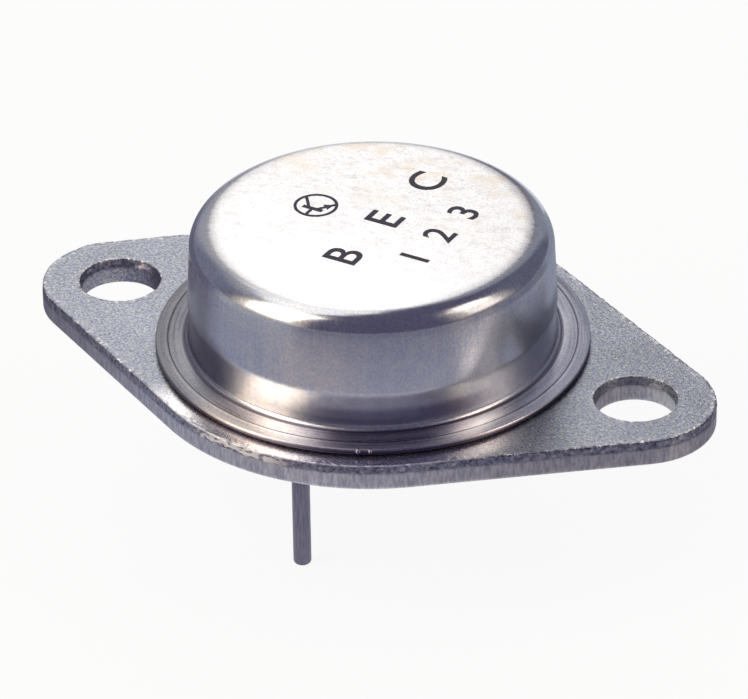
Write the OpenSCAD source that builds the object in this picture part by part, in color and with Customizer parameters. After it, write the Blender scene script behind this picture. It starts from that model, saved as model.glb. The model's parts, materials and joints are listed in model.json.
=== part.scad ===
// Power transistor in a metal can with a two-hole flange. Sizes are in millimetres.
// The origin is the centre of the seating face, under the header plate. +X runs along the line of
// the two screw holes, away from the leads' side, and +Z runs up through the can. The leads point down.

/* [Can] */
// Outer diameter of the wall at its foot
can_foot_dia = 19.8; // [16:0.1:24]
// How much narrower the wall is at its top, on the diameter
can_draft = 0.65; // [0:0.05:1.2]
// Height of the can above the header plate
can_height = 7.1; // [5.5:0.1:10]
// Thickness of the drawn sheet
can_sheet = 0.42; // [0.3:0.02:0.6]
// Outer radius of the shoulder, where the wall turns into the top
shoulder_radius = 1.25; // [0.8:0.05:2]
// Radius of the hollow between wall and flange
foot_radius = 0.35; // [0.2:0.05:0.6]
// Width of the flange, from the wall's foot to the rim
flange_width = 1.65; // [1.2:0.05:2.4]
// Radius on the upper edge of the flange's rim
rim_radius = 0.35; // [0.1:0.05:0.4]

/* [Header plate] */
// Thickness of the plate
plate_thickness = 1.45; // [1.2:0.05:2.2]
// Plate left showing around the can's flange
plate_margin = 1; // [0.5:0.05:2]
// From the flange's rim to the centre of a screw hole, room for the screw's head
screw_room = 3.525; // [3:0.025:5]
// Diameter of the screw holes
screw_hole_dia = 4.15; // [3.2:0.05:5]
// Metal around a screw hole, at the plate's rounded ends
screw_hole_wall = 2.15; // [1.5:0.05:3]
// Radius of the roll-over on the lower edges, where the press starts its cut
roll_radius = 0.2; // [0.1:0.05:0.3]
// Depth of the broken zone at the upper edges, where the metal tears at the end of the cut
break_depth = 0.45; // [0.2:0.05:0.6]
// How far the outer edge leans in over the broken zone
edge_break = 0.05; // [0:0.01:0.15]
// How far a screw hole opens out over the broken zone
hole_break = 0.12; // [0:0.01:0.2]
// Height that is left of the ring which the can is welded to
weld_height = 0.08; // [0.04:0.01:0.15]
// Width of that ring
weld_width = 0.5; // [0.3:0.05:0.8]

/* [Leads and seals] */
// Distance between the two leads
lead_spacing = 10.92; // [9:0.01:13.5]
// Distance of the leads' line from the plate's centre
lead_offset = 1.8; // [1:0.05:2.5]
// Diameter of a lead below its seal
lead_dia = 0.97; // [0.8:0.01:1.2]
// How much a lead's diameter grows from its seal up to its head, which cold heading leaves on the wire
lead_swell = 0.04; // [0.01:0.01:0.08]
// Length of a lead below the seating face
lead_length = 10; // [7.9:0.1:13.5]
// Height of a lead's head above the header plate
lead_rise = 1.9; // [1.2:0.1:2.6]
// Radius of the rounded edge at a lead's tip
lead_tip_radius = 0.22; // [0.1:0.02:0.3]
// Diameter of the head that takes the bond wires
head_dia = 1.7; // [1.5:0.05:1.9]
// Thickness of that head
head_thickness = 0.35; // [0.2:0.05:0.6]
// Diameter of a glass seal and of its hole in the plate
seal_dia = 3; // [2.4:0.1:3.6]
// How far the glass stays back from both faces of the plate
seal_recess = 0.05; // [0:0.01:0.2]
// Depth of the hollow in the glass, top and bottom
seal_hollow = 0.12; // [0.05:0.01:0.3]

/* [Chip and heat spreader] */
// Side of the square copper block
spreader_width = 7; // [5.5:0.1:8.4]
// Thickness of the block
spreader_thickness = 1.2; // [0.8:0.1:1.6]
// Radius of the block's corners
spreader_corner = 0.5; // [0.2:0.1:1]
// Thickness of the braze under the block
braze_thickness = 0.05; // [0.03:0.01:0.1]
// Thickness of the solder under the chip
solder_thickness = 0.05; // [0.03:0.01:0.1]
// How far the solder shows around the chip
solder_margin = 0.15; // [0.05:0.05:0.3]
// Side of the square chip
die_width = 4; // [3:0.1:4.8]
// Thickness of the chip
die_thickness = 0.28; // [0.2:0.02:0.4]
// Width of the step etched around the chip's upper edge
mesa_step = 0.12; // [0.05:0.01:0.2]
// Height of the silicone drop above the block
coat_height = 1.3; // [1.2:0.1:1.8]
// How far the drop stays inside the block's sides
coat_inset = 0.1; // [0.05:0.05:0.3]

/* [Bond wires] */
// Diameter of each of the two emitter wires
emitter_wire_dia = 0.38; // [0.25:0.01:0.45]
// Diameter of the base wire
base_wire_dia = 0.3; // [0.2:0.01:0.38]
// Distance between the emitter wires on the chip
emitter_wire_pitch = 1.2; // [0.8:0.1:1.8]
// Distance between the emitter wires on the lead's head
head_wire_pitch = 0.8; // [0.7:0.02:0.9]
// Length of a flattened foot
wire_foot_length = 0.7; // [0.5:0.05:0.9]
// From the chip's edge to the middle of a foot
wire_foot_inset = 0.75; // [0.6:0.05:1]
// Slope at which a wire leaves its feet
wire_slope = 60; // [50:5:65]

/* [Hidden] */
$fn = 96;

// Cutters run past the faces that they open by this much
over = 1;
// Too little to see or measure, but enough to keep two faces from just grazing
hair = 0.005;

// Can: radii, heights and the lean of its wall
foot_r = can_foot_dia / 2;
flange_r = foot_r + flange_width;
can_foot_z = plate_thickness + weld_height;
can_top_z = plate_thickness + can_height;
flange_top_z = can_foot_z + can_sheet;
wall_lean = atan((can_draft / 2) / (can_top_z - flange_top_z));

// Header plate: its round middle, its round ends, and the tangents between them
plate_r = flange_r + plate_margin;
screw_x = flange_r + screw_room;
end_r = screw_hole_dia / 2 + screw_hole_wall;
tangent_angle = acos((plate_r - end_r) / screw_x);
tangent_length = screw_x * sin(tangent_angle);
weld_r = foot_r + flange_width / 2;

// Leads, with the emitter's in front
emitter_spot = [-lead_offset, -lead_spacing / 2];
base_spot = [-lead_offset, lead_spacing / 2];
head_top_z = plate_thickness + lead_rise;
neck_z = head_top_z - head_thickness;
lead_r = lead_dia / 2;
neck_r = lead_r + lead_swell / 2;
seal_r = seal_dia / 2;

// The stack on the plate, from the braze up to the chip's upper face
spreader_z = plate_thickness + braze_thickness;
spreader_top_z = spreader_z + spreader_thickness;
die_z = spreader_top_z + solder_thickness;
die_top_z = die_z + die_thickness;
coat_r = spreader_width / 2 - coat_inset;
coat_sphere_r = (pow(coat_r, 2) + pow(coat_height, 2)) / (2 * coat_height);

// Where the wires' feet stand on the chip
pad_x = -emitter_wire_pitch / 2;
pad_y = die_width / 2 - wire_foot_inset;

// Shape of a flattened foot, as shares of the wire's diameter
foot_spread = 1.6;
foot_squash = 0.6;

// A flat square with round corners, about the origin
module rounded_square(side, corner) {
    inner = side - 2 * corner;
    square([side, inner], center = true);
    square([inner, side], center = true);
    for (x = [-inner / 2, inner / 2], y = [-inner / 2, inner / 2])
        translate([x, y]) circle(corner);
}

// Section of the plate's edge from start out to end on the X axis, with its lower corner rolled and its
// upper part leaning in
module edge_section(start, end) {
    polygon([
        [start, 0],
        [end - roll_radius, 0],
        [end - roll_radius, roll_radius],
        [end, roll_radius],
        [end, plate_thickness - break_depth],
        [end - edge_break, plate_thickness],
        [start, plate_thickness]
    ]);
    translate([end - roll_radius, roll_radius]) circle(roll_radius);
}

// A round part of the plate
module plate_disc(radius) {
    rotate_extrude() edge_section(0, radius);
}

// The straight edge between the middle and one end, and the metal behind it. It lies a hair inside the
// true tangent, so that it crosses both round edges cleanly.
module plate_side() {
    rotate([0, 0, tangent_angle]) rotate([90, 0, 0])
        linear_extrude(tangent_length) edge_section(plate_r - end_r, plate_r - hair);
}

// A hole for a screw, with its lower edge rolled and its upper part torn wider
module screw_hole() {
    bore_r = screw_hole_dia / 2;
    rotate_extrude() {
        polygon([
            [0, -over],
            [bore_r, -over],
            [bore_r, plate_thickness - break_depth],
            [bore_r + hole_break, plate_thickness],
            [bore_r + hole_break, plate_thickness + over],
            [0, plate_thickness + over]
        ]);
        difference() {
            translate([0, -over]) square([bore_r + roll_radius, over + roll_radius]);
            translate([bore_r + roll_radius, roll_radius]) circle(roll_radius);
        }
    }
}

// What is left of the raised ring that the can is welded to
module weld_ring() {
    translate([0, 0, plate_thickness]) rotate_extrude()
        translate([weld_r - weld_width / 2, 0]) square([weld_width, weld_height]);
}

module header_plate() {
    core_x = screw_x + end_r * cos(tangent_angle) - roll_radius;
    core_y = (end_r - roll_radius) * sin(tangent_angle);
    color("silver") difference() {
        union() {
            plate_disc(plate_r);
            for (side = [-1, 1]) translate([side * screw_x, 0, 0]) plate_disc(end_r);
            for (a = [0, 1], b = [0, 1]) mirror([a, 0, 0]) mirror([0, b, 0]) plate_side();
            translate([-screw_x, -core_y, 0]) cube([2 * screw_x, 2 * core_y, plate_thickness]);
            weld_ring();
        }
        for (side = [-1, 1]) translate([side * screw_x, 0, 0]) screw_hole();
        for (spot = [emitter_spot, base_spot])
            translate([spot[0], spot[1], -over]) cylinder(h = plate_thickness + 2 * over, r = seal_r);
    }
}

// Section of the can's wall and top with all that lies inside, with the outer face moved in by inset
module can_section(inset) {
    shoulder = shoulder_radius - inset;
    hollow = foot_radius + inset;
    top = can_top_z - inset;
    flange_top = flange_top_z - inset;
    wall_foot = foot_r - inset / cos(wall_lean);
    // Centres of the shoulder and of the hollow, each tangent to the wall's line and to a level face
    shoulder_z = top - shoulder;
    shoulder_x = wall_foot - (shoulder_z - flange_top) * tan(wall_lean) - shoulder / cos(wall_lean);
    hollow_z = flange_top + hollow;
    hollow_x = wall_foot - hollow * tan(wall_lean) + hollow / cos(wall_lean);
    difference() {
        union() {
            polygon([
                [0, can_foot_z],
                [hollow_x, can_foot_z],
                [hollow_x, hollow_z],
                [hollow_x - hollow * cos(wall_lean), hollow_z - hollow * sin(wall_lean)],
                [shoulder_x + shoulder * cos(wall_lean), shoulder_z + shoulder * sin(wall_lean)],
                [shoulder_x, shoulder_z],
                [shoulder_x, top],
                [0, top]
            ]);
            translate([shoulder_x, shoulder_z]) circle(shoulder);
        }
        translate([hollow_x, hollow_z]) circle(hollow);
    }
}

// What rounding takes off the upper edge of the flange's rim
module rim_cut() {
    difference() {
        translate([flange_r - rim_radius, flange_top_z - rim_radius]) square(rim_radius + over);
        translate([flange_r - rim_radius, flange_top_z - rim_radius]) circle(rim_radius);
    }
}

module can() {
    color("gainsboro") rotate_extrude() difference() {
        union() {
            can_section(0);
            translate([foot_r, can_foot_z]) square([flange_width, can_sheet]);
        }
        can_section(can_sheet);
        rim_cut();
    }
}

// A lead with its rounded tip, its shank that swells from the seal up, and the flat head for the wires
module lead(spot) {
    tip_z = lead_tip_radius - lead_length;
    color("lightsteelblue") translate([spot[0], spot[1], 0]) rotate_extrude() {
        polygon([
            [0, -lead_length],
            [lead_r - lead_tip_radius, -lead_length],
            [lead_r - lead_tip_radius, tip_z],
            [lead_r, tip_z],
            [lead_r, seal_recess],
            [neck_r, neck_z],
            [0, neck_z]
        ]);
        translate([lead_r - lead_tip_radius, tip_z]) circle(lead_tip_radius);
        translate([0, neck_z]) square([head_dia / 2, head_thickness]);
    }
}

// Glass between a lead and its hole, hollowed on both faces where it crept up the metal
module seal(spot) {
    gap = seal_r - lead_r;
    hollow_r = (pow(gap / 2, 2) + pow(seal_hollow, 2)) / (2 * seal_hollow);
    low = seal_recess;
    high = plate_thickness - seal_recess;
    lead_r_high = lead_r + (neck_r - lead_r) * (high - low) / (neck_z - low);
    color("darkslategray") translate([spot[0], spot[1], 0]) rotate_extrude() difference() {
        polygon([[lead_r, low], [seal_r, low], [seal_r, high], [lead_r_high, high]]);
        translate([lead_r + gap / 2, low + seal_hollow - hollow_r]) circle(hollow_r);
        translate([lead_r + gap / 2, high - seal_hollow + hollow_r]) circle(hollow_r);
    }
}

module emitter_lead() {
    lead(emitter_spot);
}

module base_lead() {
    lead(base_spot);
}

module emitter_seal() {
    seal(emitter_spot);
}

module base_seal() {
    seal(base_spot);
}

module braze_preform() {
    color("gold") translate([0, 0, plate_thickness]) linear_extrude(braze_thickness)
        rounded_square(spreader_width, spreader_corner);
}

module heat_spreader() {
    color("chocolate") translate([0, 0, spreader_z]) linear_extrude(spreader_thickness)
        rounded_square(spreader_width, spreader_corner);
}

module solder_preform() {
    side = die_width + 2 * solder_margin;
    color("darkgray") translate([-side / 2, -side / 2, spreader_top_z])
        cube([side, side, solder_thickness]);
}

// The chip, half as thick around its etched edge
module die() {
    mesa = die_width - 2 * mesa_step;
    color("dimgray") {
        translate([-die_width / 2, -die_width / 2, die_z]) cube([die_width, die_width, die_thickness / 2]);
        translate([-mesa / 2, -mesa / 2, die_z]) cube([mesa, mesa, die_thickness]);
    }
}

// A flattened foot, whose middle stands on the origin
module wire_foot(wire_dia) {
    translate([-wire_foot_length / 2, -foot_spread * wire_dia / 2, 0])
        cube([wire_foot_length, foot_spread * wire_dia, foot_squash * wire_dia]);
}

// A bond wire from a spot on the chip to a spot on a lead's head. It goes over on one arc, and the
// arc's ends sink into the feet.
module bond_wire(from, to, wire_dia) {
    heading = atan2(to[1] - from[1], to[0] - from[0]);
    run = norm(to - from);
    rise = head_top_z - die_top_z;
    lift = atan(rise / run);
    arc_r = norm([run, rise]) / (2 * sin(wire_slope));
    color("whitesmoke") translate([from[0], from[1], die_top_z]) rotate([0, 0, heading]) {
        wire_foot(wire_dia);
        translate([run, 0, rise]) wire_foot(wire_dia);
        translate([0, 0, foot_squash * wire_dia / 2]) rotate([90, -lift, 0])
            translate([arc_r * sin(wire_slope), -arc_r * cos(wire_slope), 0])
            rotate([0, 0, 90 - wire_slope]) rotate_extrude(angle = 2 * wire_slope)
            translate([arc_r, 0]) circle(wire_dia / 2);
    }
}

module emitter_wire_a() {
    bond_wire([pad_x - emitter_wire_pitch / 2, -pad_y],
              emitter_spot - [head_wire_pitch / 2, 0], emitter_wire_dia);
}

module emitter_wire_b() {
    bond_wire([pad_x + emitter_wire_pitch / 2, -pad_y],
              emitter_spot + [head_wire_pitch / 2, 0], emitter_wire_dia);
}

module base_wire() {
    bond_wire([pad_x, pad_y], base_spot, base_wire_dia);
}

// The silicone drop, around the chip and the lower ends of the wires
module junction_coat() {
    color("lavender") difference() {
        intersection() {
            translate([0, 0, spreader_top_z + coat_height - coat_sphere_r]) sphere(coat_sphere_r);
            translate([0, 0, spreader_top_z]) cylinder(h = coat_height + over, r = coat_r + over);
        }
        solder_preform();
        die();
        emitter_wire_a();
        emitter_wire_b();
        base_wire();
    }
}

header_plate();
can();
emitter_lead();
base_lead();
emitter_seal();
base_seal();
braze_preform();
heat_spreader();
solder_preform();
die();
emitter_wire_a();
emitter_wire_b();
base_wire();
junction_coat();
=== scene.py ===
import json
from math import acos, atan, atan2, cos, pi, radians, sin, sqrt, tan

import bmesh
import bpy
from mathutils import Matrix, Vector


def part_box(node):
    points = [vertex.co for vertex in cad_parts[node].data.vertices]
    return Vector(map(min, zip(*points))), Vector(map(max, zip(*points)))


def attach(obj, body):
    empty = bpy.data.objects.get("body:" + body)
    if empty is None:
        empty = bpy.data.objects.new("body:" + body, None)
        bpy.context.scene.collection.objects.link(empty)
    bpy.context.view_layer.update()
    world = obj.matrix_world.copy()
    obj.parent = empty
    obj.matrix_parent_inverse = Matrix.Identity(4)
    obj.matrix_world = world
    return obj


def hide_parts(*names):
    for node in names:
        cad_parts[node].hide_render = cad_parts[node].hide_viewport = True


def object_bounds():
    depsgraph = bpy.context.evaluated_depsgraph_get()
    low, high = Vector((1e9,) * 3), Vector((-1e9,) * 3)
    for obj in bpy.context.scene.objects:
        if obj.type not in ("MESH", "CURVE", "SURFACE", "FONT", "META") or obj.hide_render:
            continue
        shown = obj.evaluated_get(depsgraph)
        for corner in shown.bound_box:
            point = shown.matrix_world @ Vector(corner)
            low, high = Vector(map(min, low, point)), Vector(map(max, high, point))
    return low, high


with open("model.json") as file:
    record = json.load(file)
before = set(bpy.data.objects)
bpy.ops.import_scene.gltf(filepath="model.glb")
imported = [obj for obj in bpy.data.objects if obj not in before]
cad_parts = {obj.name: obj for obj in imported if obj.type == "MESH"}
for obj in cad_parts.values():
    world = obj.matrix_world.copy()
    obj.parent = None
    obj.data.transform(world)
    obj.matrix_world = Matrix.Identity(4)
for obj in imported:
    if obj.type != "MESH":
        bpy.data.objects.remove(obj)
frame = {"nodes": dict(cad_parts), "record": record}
cad_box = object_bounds()

# ---- Header plate ----------------------------------------------------------------------------
# A flat plate stamped from thick steel and plated with nickel. The punch rolled its lower edge,
# sheared the side bright, and tore the last of it, so that a rough band and a burr run along the
# upper edge. It has a screw hole at each end, two holes for the leads, and a raised welding ring.
MM = 0.001
mounts = {m["name"]: m for m in frame["record"]["mounts"]}
plate_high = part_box("header_plate")[1]
face_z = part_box("braze_preform")[0].z
hole_x = mounts["screw_hole_right"]["pos_m"][0]
bore_r = mounts["screw_hole_right"]["dims"]["r_mm"] * MM
middle_r = plate_high.y
end_r = plate_high.x - hole_x
tangent = acos((middle_r - end_r) / hole_x)
seal_low, seal_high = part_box("emitter_seal")
seal_r = (seal_high.y - seal_low.y) / 2
lead_spots = {name: Vector(mounts[name + "_pin"]["pos_m"]).to_2d() for name in ("emitter", "base")}
# Sections in mm, from the upper face to the lower: inward from the side, then height
edge_section = [(0.60, 1.450), (0.42, 1.450), (0.30, 1.450), (0.22, 1.451), (0.16, 1.452), (0.11, 1.454),
                (0.075, 1.455), (0.055, 1.446), (0.048, 1.420), (0.042, 1.380), (0.036, 1.340),
                (0.032, 1.300), (0.027, 1.250), (0.022, 1.200), (0.017, 1.150), (0.012, 1.100),
                (0.007, 1.050), (0.003, 1.000), (0, 0.960), (0, 0.85), (0, 0.70), (0, 0.55), (0, 0.40),
                (0, 0.28), (0, 0.20), (0.015, 0.123), (0.059, 0.059), (0.123, 0.015), (0.20, 0), (0.60, 0)]
bore_section = [(0.40, 1.450), (0.26, 1.451), (0.20, 1.455), (0.165, 1.460), (0.135, 1.450), (0.120, 1.415),
                (0.110, 1.370), (0.100, 1.320), (0.088, 1.270), (0.076, 1.220), (0.062, 1.170),
                (0.046, 1.120), (0.028, 1.070), (0.010, 1.020), (0, 0.980), (0, 0.80), (0, 0.55), (0, 0.35),
                (0, 0.20), (0.015, 0.123), (0.059, 0.059), (0.123, 0.015), (0.20, 0), (0.40, 0)]
seal_hole_section = [(0.05, 1.450), (0, 1.40), (0, 0.75), (0, 0.05), (0.05, 0)]


def nothing():
    """Leaves edit mode, with nothing selected."""
    if bpy.context.object and bpy.context.object.mode == "EDIT":
        bpy.ops.object.mode_set(mode="OBJECT")
    bpy.ops.object.select_all(action="DESELECT")


def pick(wanted, kind="VERT"):
    """Selects, in edit mode, the corners, edges or faces that the test takes."""
    bpy.ops.mesh.select_mode(type=kind)
    bpy.ops.mesh.select_all(action="DESELECT")
    shape = bmesh.from_edit_mesh(bpy.context.object.data)
    for part in {"VERT": shape.verts, "EDGE": shape.edges, "FACE": shape.faces}[kind]:
        if wanted(part):
            part.select_set(True)
    shape.select_flush_mode()
    bmesh.update_edit_mesh(bpy.context.object.data)


def point_at(place):
    """Adds a small square, in edit mode, and draws it together into one point."""
    bpy.ops.mesh.primitive_plane_add(size=MM, location=place)
    bpy.ops.mesh.merge(type="CENTER")


def draw(places):
    """Draws the selected point on from place to place."""
    for here, there in zip(places, places[1:]):
        bpy.ops.mesh.extrude_region_move(TRANSFORM_OT_translate={"value": Vector(there) - Vector(here)})


def begin(name):
    """A new piece with an empty mesh at the origin, in edit mode."""
    nothing()
    bpy.ops.mesh.primitive_plane_add(size=MM, location=(0, 0, 0))
    piece = bpy.context.object
    piece.name = piece.data.name = name
    bpy.ops.object.mode_set(mode="EDIT")
    bpy.ops.mesh.select_mode(type="VERT")
    bpy.ops.mesh.select_all(action="SELECT")
    bpy.ops.mesh.delete(type="VERT")
    return piece


def spin(middle, angle, steps):
    """Turns the selected section round an upright axis; the operator itself turns clockwise."""
    bpy.ops.mesh.spin(steps=steps, angle=-angle, center=(middle[0], middle[1], 0), axis=(0, 0, 1))


def weld(reach=0.001 * MM):
    """Joins what lies in the same place, and turns the faces outwards."""
    bpy.ops.mesh.select_all(action="SELECT")
    bpy.ops.mesh.remove_doubles(threshold=reach)
    bpy.ops.mesh.normals_make_consistent(inside=False)


def settle(piece, smooth=40):
    """Out of edit mode, smooth but for its sharp edges."""
    bpy.ops.object.mode_set(mode="OBJECT")
    bpy.ops.object.shade_smooth_by_angle(angle=radians(smooth))


header = begin("header_plate_stamping")


def radial(middle, reach, angle, section, inward=True):
    """Places of a section that stands at an angle round a middle."""
    away = Vector((cos(angle), sin(angle)))
    return [(*(Vector(middle) + away * (reach - d * MM if inward else reach + d * MM)), h * MM)
            for d, h in section]


right, left = Vector((hole_x, 0)), Vector((-hole_x, 0))
section = radial(right, end_r, -tangent, edge_section)
point_at(section[0])
draw(section)
pick(lambda v: True)
end_steps, middle_steps, straight_cuts = 84, 148, 124
# Two halves, each an end's arc, a straight side, the wide middle's arc and a straight side
for side in (1, -1):
    spin(side * right, 2 * tangent, end_steps)
    to_middle = left * side + Vector((cos(tangent), sin(tangent))) * side * (middle_r - end_r)
    bpy.ops.mesh.extrude_region_move(TRANSFORM_OT_translate={"value": (*to_middle, 0)})
    spin((0, 0), pi - 2 * tangent, middle_steps)
    to_end = left * side - Vector((-cos(tangent), sin(tangent))) * side * (middle_r - end_r)
    bpy.ops.mesh.extrude_region_move(TRANSFORM_OT_translate={"value": (*to_end, 0)})
weld()
pick(lambda e: e.calc_length() > 5 * MM, "EDGE")
bpy.ops.mesh.subdivide(number_cuts=straight_cuts)


def ring(middle, reach, section, steps):
    """Turns a section right round a middle, as a separate mesh."""
    turned = begin("ring")
    places = radial(middle, reach, 0, section, False)
    point_at(places[0])
    draw(places)
    bpy.ops.mesh.select_all(action="SELECT")
    spin(middle, 2 * pi, steps)
    weld()
    bpy.ops.object.mode_set(mode="OBJECT")
    return turned


def join(parts, whole):
    """Makes the parts one piece with the whole."""
    nothing()
    for part in [*parts, whole]:
        part.select_set(True)
    bpy.context.view_layer.objects.active = whole
    bpy.ops.object.join()


bpy.ops.object.mode_set(mode="OBJECT")
weld_ring_r, ring_half = 10.725 * MM, 0.25
ring_top = plate_high.z / MM
rings = [ring(middle, bore_r, bore_section, 168) for middle in (right, left)]
rings += [ring(spot, seal_r, seal_hole_section, 96) for spot in lead_spots.values()]
ring_section = [(-ring_half, 1.45), (-ring_half, ring_top), (ring_half, ring_top), (ring_half, 1.45)]
rings.append(ring((0, 0), weld_ring_r, ring_section, 256))
join(rings, header)
bpy.ops.object.mode_set(mode="EDIT")


def loops_at(height, keep):
    """Selects the open edges of one face, where they pass the test."""
    pick(lambda e: e.is_boundary and all(abs(v.co.z - height) < 0.002 * MM for v in e.verts)
         and keep(((e.verts[0].co + e.verts[1].co) / 2).to_2d().length), "EDGE")


for height, keep in ((face_z, lambda r: r > weld_ring_r), (face_z, lambda r: r < weld_ring_r),
                     (0, lambda r: True)):
    loops_at(height, keep)
    bpy.ops.mesh.fill(use_beauty=True)
weld()
settle(header, 35)


def from_outline(place):
    """How far a place lies inside the plate's outline."""
    x, y = abs(place[0]), abs(place[1])
    side = middle_r - (x * cos(tangent) + y * sin(tangent))
    run = x * sin(tangent) - y * cos(tangent)
    if run <= 0:
        return middle_r - sqrt(x * x + y * y)
    if run >= hole_x * sin(tangent):
        return end_r - sqrt((x - hole_x) ** 2 + y * y)
    return side


def from_bore(place):
    """How far a place lies from the nearer screw hole."""
    return sqrt((abs(place[0]) - hole_x) ** 2 + place[1] ** 2) - bore_r


def ramp(value, start, end):
    """0 up to the start and 1 from the end on, with soft turns."""
    share = min(1.0, max(0.0, (value - start) / (end - start)))
    return share * share * (3 - 2 * share)


def mark(piece, name, shares):
    """Keeps a share for each corner, both for modifiers and for the finish."""
    group = piece.vertex_groups.new(name=name)
    for corner, share in enumerate(shares):
        if share > 0:
            group.add([corner], share, "REPLACE")
    piece.data.attributes.new(name + "_share", "FLOAT", "POINT").data.foreach_set("value", shares)


# Shares by distance and height in mm. The right screw hole is sheared as the outline is, with less
# tearing, and the left one is darker all the way up.
torn_shares, crest_shares, sheared_shares, bored_shares = [], [], [], []
for v in header.data.vertices:
    inside, beside = from_outline(v.co) / MM, from_bore(v.co) / MM
    high = v.co.z / MM
    near = max(1 - ramp(inside, 0.10, 0.20), (1 - ramp(beside, 0.16, 0.24)) * (0.45 if v.co.x > 0 else 1.0))
    torn_shares.append(near * ramp(high, 0.93, 1.05))
    near = max(1 - ramp(inside, 0.22, 0.55), 1 - ramp(beside, 0.20, 0.38))
    crest_shares.append(near * ramp(high, 1.38, 1.45))
    near = max(1 - ramp(inside, 0.02, 0.12), (1 - ramp(beside, 0.02, 0.12)) * (0.9 if v.co.x > 0 else 0.0))
    sheared_shares.append(near * (1 - ramp(high, 0.95, 1.05)))
    bored_shares.append((1 - ramp(beside, 0.02, 0.12)) * (0 if v.co.x > 0 else 1 - ramp(high, 1.39, 1.43)))
worn_places = {"torn": torn_shares, "crest": crest_shares, "sheared": sheared_shares, "bored": bored_shares}
for name, shares in worn_places.items():
    mark(header, name, shares)


def displace(piece, name, size, depth, height, group):
    """Moves the surface in and out by a cloudy pattern, where the group takes it."""
    texture = bpy.data.textures.new(name, "CLOUDS")
    texture.noise_scale = size * MM
    texture.noise_depth = depth
    bpy.context.view_layer.objects.active = piece
    relief = piece.modifiers.new("relief", "DISPLACE")
    relief.texture = texture
    relief.texture_coords = "LOCAL"
    relief.strength = height * MM
    relief.mid_level = 0.5
    relief.vertex_group = group
    bpy.ops.object.modifier_apply(modifier=relief.name)


displace(header, "torn_grain", 0.26, 2, 0.07, "torn")
displace(header, "torn_lumps", 0.9, 1, 0.05, "torn")
displace(header, "burr_grain", 0.25, 2, 0.04, "crest")


def add(tree, kind, links=None, **settings):
    """A node with its settings, and its sockets linked or set."""
    node = tree.nodes.new("ShaderNode" + kind)
    for key, value in settings.items():
        setattr(node, key, value)
    for socket, source in (links or {}).items():
        if isinstance(source, bpy.types.NodeSocket):
            tree.links.new(source, node.inputs[socket])
        else:
            node.inputs[socket].default_value = source
    return node


def finish(name, **sockets):
    """A new material with its shader's plain sockets set."""
    material = bpy.data.materials.new(name)
    material.use_nodes = True
    shader = material.node_tree.nodes["Principled BSDF"]
    for key, value in sockets.items():
        shader.inputs[key.replace("_", " ")].default_value = value
    return material, material.node_tree, shader


def figure(tree, kind, *values):
    """A sum on numbers: ADD, MULTIPLY and so on."""
    return add(tree, "Math", dict(enumerate(values)), operation=kind).outputs[0]


def vector(tree, kind, *values):
    """A sum on vectors; a length or a distance comes out as a number."""
    node = add(tree, "VectorMath", dict(enumerate(values)), operation=kind)
    return node.outputs["Value" if kind in ("LENGTH", "DISTANCE") else "Vector"]


def grain(tree, place, size, detail=2, rough=0.5, stretch=(1, 1, 1), turn=0.0):
    """Noise whose lumps are about that many mm across, stretched and turned."""
    put = add(tree, "Mapping", {"Vector": place, "Scale": [1 / (size * MM * s) for s in stretch],
                                "Rotation": (0, 0, turn)}, vector_type="POINT")
    return add(tree, "TexNoise", {"Vector": put.outputs[0], "Scale": 1.0, "Detail": detail,
                                  "Roughness": rough}).outputs["Fac"]


def shade(tree, value, *stops):
    """Colours or shares along a value."""
    node = add(tree, "ValToRGB", {"Fac": value})
    steps = node.color_ramp.elements
    while len(steps) < len(stops):
        steps.new(0.5)
    for step, (at, tone) in zip(steps, stops):
        step.position = at
        step.color = (*tone, 1) if isinstance(tone, tuple) else (tone, tone, tone, 1)
    return node.outputs["Color"]


def blend(tree, share, first, second, kind="MIX"):
    """The second colour or share over the first one, by a share."""
    node = add(tree, "Mix", data_type="RGBA", blend_type=kind)
    for socket, source in ((0, share), (6, first), (7, second)):
        if isinstance(source, bpy.types.NodeSocket):
            tree.links.new(source, node.inputs[socket])
        elif isinstance(source, tuple):
            node.inputs[socket].default_value = (*source, 1)
        else:
            node.inputs[socket].default_value = source
    return node.outputs[2]


def bump(tree, shader, *layers):
    """Layers of relief, each a height, its depth in mm and its strength."""
    last = None
    for height, depth, strength in layers:
        node = add(tree, "Bump", {"Height": height, "Distance": depth * MM, "Strength": strength})
        if last:
            tree.links.new(last, node.inputs["Normal"])
        last = node.outputs["Normal"]
    tree.links.new(last, shader.inputs["Normal"])


def times(tree, one, other):
    """One share times another."""
    return figure(tree, "MULTIPLY", one, other)


def along(tree, value, start, end, first=0.0, last=1.0, kind="LINEAR"):
    """Goes from first to last while a value goes from start to end."""
    return add(tree, "MapRange", {"Value": value, "From Min": start, "From Max": end, "To Min": first,
                                  "To Max": last}, interpolation_type=kind).outputs[0]


def between(tree, value, low, high, soft):
    """1 between two values, with soft ends."""
    return times(tree, along(tree, value, low - soft, low + soft, kind="SMOOTHSTEP"),
                 along(tree, value, high + soft, high - soft, kind="SMOOTHSTEP"))


def split(tree, place):
    """The X, Y and Z of a place or a direction."""
    return add(tree, "SeparateXYZ", {"Vector": place}).outputs


def compass_round(tree, axes):
    """Degrees round the upright axis: 0 is the front, 90 the right."""
    forward = figure(tree, "MULTIPLY", axes["Y"], -1.0)
    return figure(tree, "DEGREES", figure(tree, "ARCTAN2", axes["X"], forward))


def paint(tree, shader, tone, roughness=None):
    """Gives the shader its tone, and its roughness where that varies."""
    tree.links.new(tone, shader.inputs["Base Color"])
    if roughness:
        tree.links.new(roughness, shader.inputs["Roughness"])


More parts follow.
